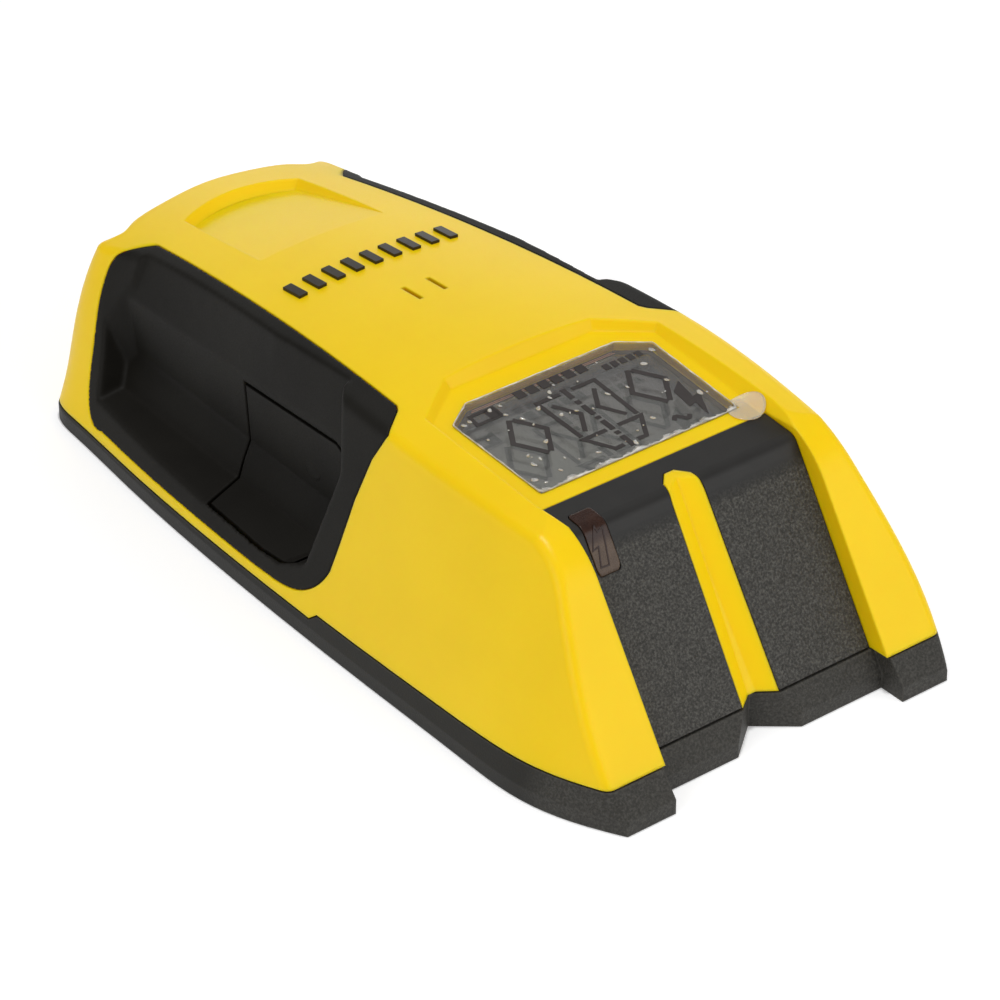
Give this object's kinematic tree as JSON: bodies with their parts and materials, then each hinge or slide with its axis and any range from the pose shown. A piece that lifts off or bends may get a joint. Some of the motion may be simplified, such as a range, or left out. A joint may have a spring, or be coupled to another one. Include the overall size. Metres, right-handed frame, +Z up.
{
  "type": "stud finder",
  "caption": "Handheld stud finder lying on its sole, with a sunken nose and marking notch, a tilted LCD window, finger-scoop side grips, a press button and a sliding battery door.",
  "frame": {"origin": "centre of the bounding box's base, on the flat sole", "axes": "+Z up out of the crown, -Y towards the marking nose, +Y towards the thumb end, X across with the symmetry plane at x = 0; the activation button is on the -X side"},
  "size_m": [0.083, 0.164, 0.0433],
  "materials": {
    "badge_black": "smooth printed or inlaid black",
    "battery_jacket": "lacquered steel jacket",
    "board_green": "FR4 with green solder mask",
    "button_rubber": "matte soft-touch elastomer",
    "case_charcoal": "fine spark-textured ABS",
    "case_yellow": "moulded ABS with a fine satin texture",
    "chip_black": "epoxy moulding compound",
    "component_tan": "ceramic and plated parts",
    "copper_foil": "etched copper",
    "film_clear": "thin clear protective film with trapped bubbles",
    "frame_grey": "moulded bezel, satin",
    "grip_rubber": "matte soft-touch elastomer",
    "lcd_glass": "grey-green segment LCD",
    "led_red": "red tinted epoxy",
    "lens_red": "translucent dark red acrylic",
    "panel_black": "leather-grain moulded plastic with smooth bands",
    "pin_brass": "gold-flashed square-pin finish",
    "plated_steel": "nickel plated steel",
    "screw_steel": "black-zinc steel, cross recess",
    "stem_black": "moulded nylon",
    "switch_steel": "stamped cover",
    "tinned_wire": "tinned steel wire",
    "tray_black": "plain moulded plastic",
    "window_clear": "clear polished acrylic",
    "zebra_rubber": "layered conductive elastomer"
  },
  "bodies": {
    "casing": {"ac_led": "led_red", "ac_lens": "lens_red", "badge_bars": "badge_black", "base_shell": "case_charcoal", "battery": "battery_jacket", "battery_terminals": "plated_steel", "battery_tray": "tray_black", "board_components": "component_tan", "board_header": "pin_brass", "board_screws": "screw_steel", "buzzer": "chip_black", "case_screws": "screw_steel", "contact_board": "board_green", "contact_pins": "pin_brass", "contact_snaps": "plated_steel", "lcd_frame": "frame_grey", "lcd_glass": "lcd_glass", "lcd_window": "window_clear", "led_leads": "tinned_wire", "left_grip": "grip_rubber", "main_board": "board_green", "microcontroller": "chip_black", "nose_panel": "panel_black", "right_grip": "grip_rubber", "sensor_board": "board_green", "sensor_electrodes": "copper_foil", "switch_board": "board_green", "tactile_switch": "switch_steel", "top_shell": "case_yellow", "window_film": "film_clear", "zebra_strips": "zebra_rubber"},
    "activation_button": {"activation_button": "button_rubber", "switch_stem": "stem_black"},
    "battery_door": {"battery_door": "case_charcoal"}
  },
  "joints": [
    {"name": "button_press", "type": "slide", "parent": "casing", "child": "activation_button", "axis": [1, 0, 0], "range_m": [0, 0.001], "stiffness_N_per_m": 600},
    {"name": "door_slide", "type": "slide", "parent": "casing", "child": "battery_door", "axis": [0, 1, 0], "range_m": [0, 0.045]}
  ]
}
